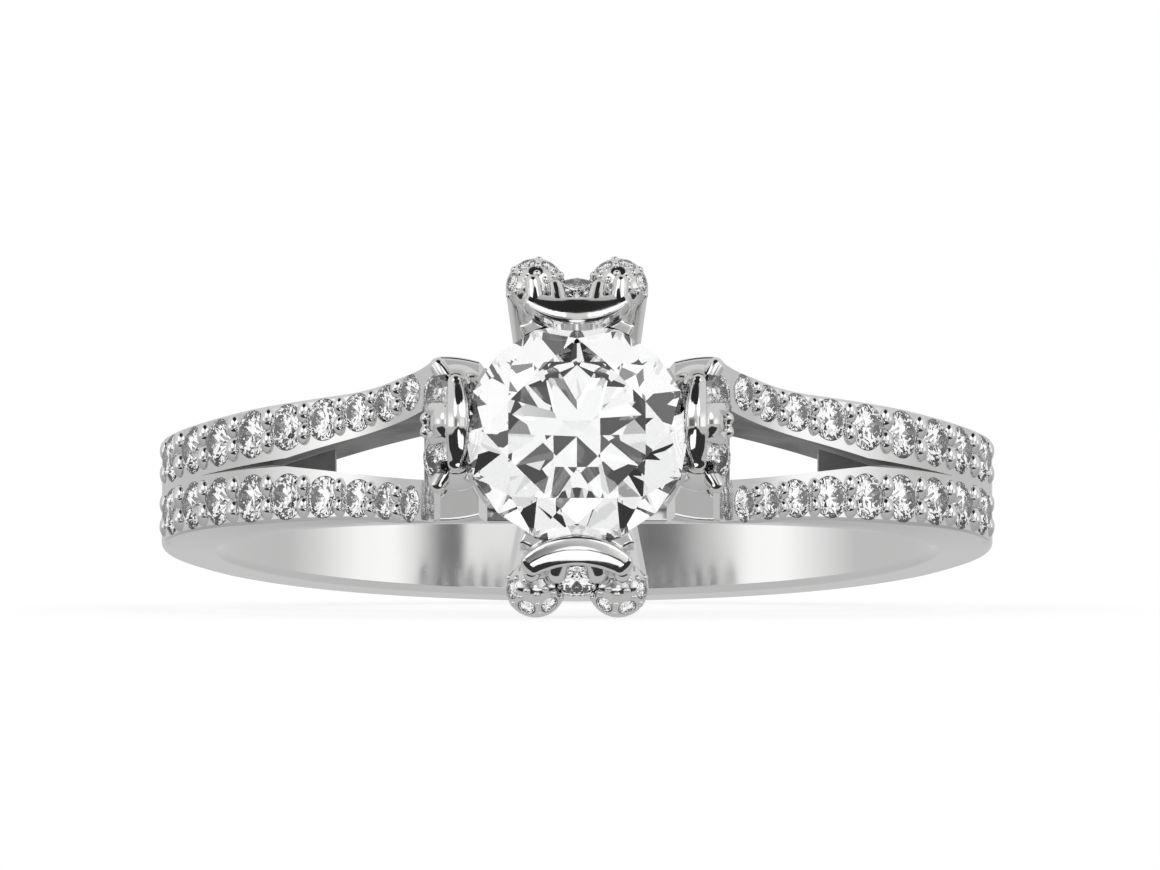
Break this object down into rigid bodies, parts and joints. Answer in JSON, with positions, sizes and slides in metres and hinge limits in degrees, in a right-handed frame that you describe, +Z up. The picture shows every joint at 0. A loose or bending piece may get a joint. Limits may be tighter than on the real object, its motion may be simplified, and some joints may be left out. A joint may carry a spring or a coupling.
{
  "type": "solitaire ring",
  "caption": "Finger ring with a raised round stone in a half bezel of four petals, and a split shank set with rows of small round stones, lying on its side.",
  "frame": {"origin": "on the surface that the ring lies on, under the middle of its box", "axes": "+X across the hoop, -Y towards the round stone, +Z up from the surface; the finger's axis leans 7 degrees from +Z towards +Y"},
  "size_m": [0.0198, 0.0236, 0.0082],
  "materials": {
    "white_metal": "polished",
    "centre_stone": "clear, cut and polished",
    "small_stones": "clear, cut and polished"
  },
  "bodies": {
    "root": {"metal": "white_metal", "centre_stone": "centre_stone", "lower_petal_stones": "small_stones", "upper_petal_stones": "small_stones", "left_lower_row_stone_1": "small_stones", "left_lower_row_stone_2": "small_stones", "left_lower_row_stone_3": "small_stones", "left_lower_row_stone_4": "small_stones", "left_lower_row_stone_5": "small_stones", "left_lower_row_stone_6": "small_stones", "left_lower_row_stone_7": "small_stones", "left_lower_row_stone_8": "small_stones", "left_lower_row_stone_9": "small_stones", "left_upper_row_stone_1": "small_stones", "left_upper_row_stone_2": "small_stones", "left_upper_row_stone_3": "small_stones", "left_upper_row_stone_4": "small_stones", "left_upper_row_stone_5": "small_stones", "left_upper_row_stone_6": "small_stones", "left_upper_row_stone_7": "small_stones", "left_upper_row_stone_8": "small_stones", "left_upper_row_stone_9": "small_stones", "right_lower_row_stone_1": "small_stones", "right_lower_row_stone_2": "small_stones", "right_lower_row_stone_3": "small_stones", "right_lower_row_stone_4": "small_stones", "right_lower_row_stone_5": "small_stones", "right_lower_row_stone_6": "small_stones", "right_lower_row_stone_7": "small_stones", "right_lower_row_stone_8": "small_stones", "right_lower_row_stone_9": "small_stones", "right_upper_row_stone_1": "small_stones", "right_upper_row_stone_2": "small_stones", "right_upper_row_stone_3": "small_stones", "right_upper_row_stone_4": "small_stones", "right_upper_row_stone_5": "small_stones", "right_upper_row_stone_6": "small_stones", "right_upper_row_stone_7": "small_stones", "right_upper_row_stone_8": "small_stones", "right_upper_row_stone_9": "small_stones", "left_lower_column_stone": "small_stones", "left_upper_column_stone": "small_stones", "right_lower_column_stone": "small_stones", "right_upper_column_stone": "small_stones"}
  },
  "joints": []
}
